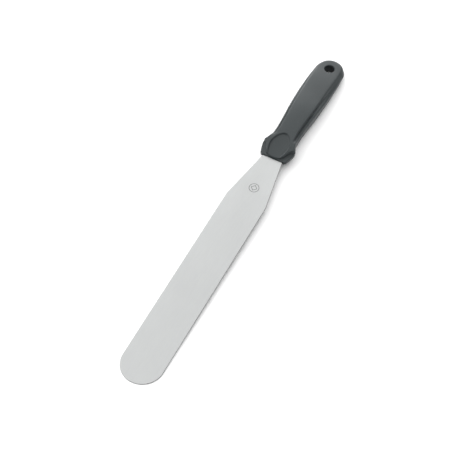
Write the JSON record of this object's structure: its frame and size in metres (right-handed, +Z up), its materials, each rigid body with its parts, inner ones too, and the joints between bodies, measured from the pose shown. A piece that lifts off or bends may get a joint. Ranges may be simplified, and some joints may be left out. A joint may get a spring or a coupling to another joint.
{
  "type": "palette knife",
  "caption": "Straight palette knife for spreading icing: a long flexible steel blade with a round tip, held in a moulded handle with a flared guard, a thumb rest and a hanging hole.",
  "frame": {"origin": "middle of the bounding box in plan, on the surface that the knife lies on", "axes": "+X along the knife from the handle to the blade's tip, +Z up from the surface it lies on, +Y across the blade"},
  "size_m": [0.3796, 0.038, 0.0157],
  "materials": {
    "blade_steel": "satin, ground along its length",
    "handle_plastic": "fine matte moulded texture, dark grey"
  },
  "bodies": {
    "root": {"blade": "blade_steel", "handle": "handle_plastic"}
  },
  "joints": []
}
